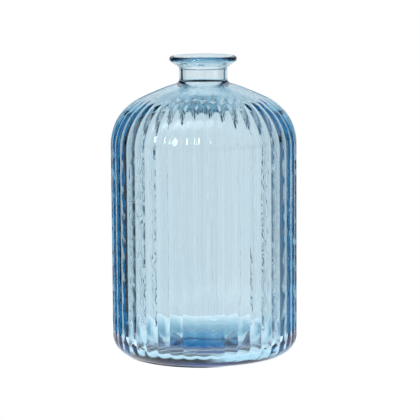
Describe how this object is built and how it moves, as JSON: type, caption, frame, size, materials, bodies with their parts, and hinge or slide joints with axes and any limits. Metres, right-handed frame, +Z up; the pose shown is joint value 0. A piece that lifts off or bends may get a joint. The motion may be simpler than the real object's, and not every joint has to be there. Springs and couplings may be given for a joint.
{
  "type": "glass bud vase",
  "caption": "Bottle-shaped glass bud vase: domed cylinder with convex vertical ribs, short narrow neck, flared rounded lip and a thick flat foot.",
  "frame": {"origin": "centre of the foot, on the plane the vase stands on", "axes": "+Z up along the axis of revolution; one rib crest faces -Y"},
  "size_m": [0.12, 0.1198, 0.193],
  "materials": {
    "clear_blue_glass": "fire-polished clear moulded glass, pale blue through thin walls and deep blue through thick ones"
  },
  "bodies": {
    "root": {"lip": "clear_blue_glass", "neck": "clear_blue_glass", "shoulder": "clear_blue_glass", "body_wall": "clear_blue_glass", "heel": "clear_blue_glass", "base": "clear_blue_glass"}
  },
  "joints": []
}
